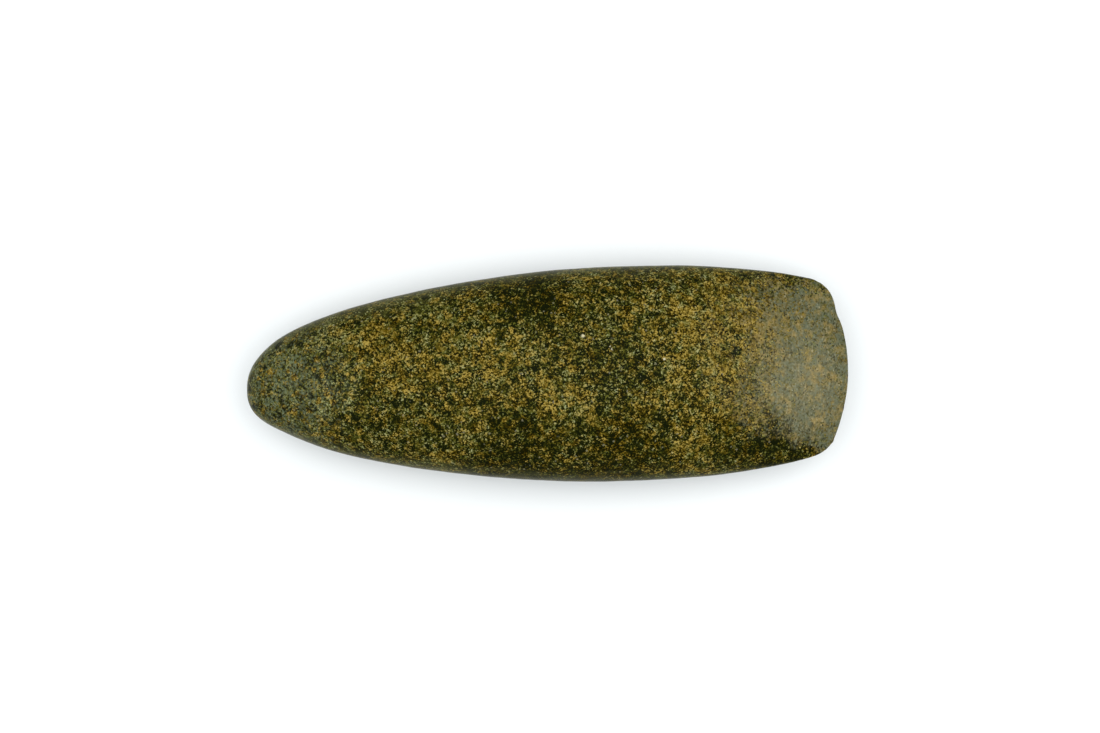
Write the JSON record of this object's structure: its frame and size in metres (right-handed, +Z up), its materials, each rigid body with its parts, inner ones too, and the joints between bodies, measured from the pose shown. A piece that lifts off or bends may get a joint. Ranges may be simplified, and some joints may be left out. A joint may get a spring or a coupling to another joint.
{
  "type": "polished stone axe",
  "caption": "Polished stone axe head with a rounded tapering butt, full convex faces and a gently curved cutting edge, lying on one face.",
  "frame": {"origin": "on the ground, under the middle of the length and the width of the axe head as it lies on one broad face", "axes": "+X runs along the length from the rounded butt to the cutting edge, +Y across the face, +Z up through the thickness"},
  "size_m": [0.18, 0.0644, 0.04],
  "materials": {
    "stone": "ground and polished speckled dark green stone with ochre grains, semi-gloss at the blade and butt"
  },
  "bodies": {
    "root": {"axe_head": "stone"}
  },
  "joints": []
}
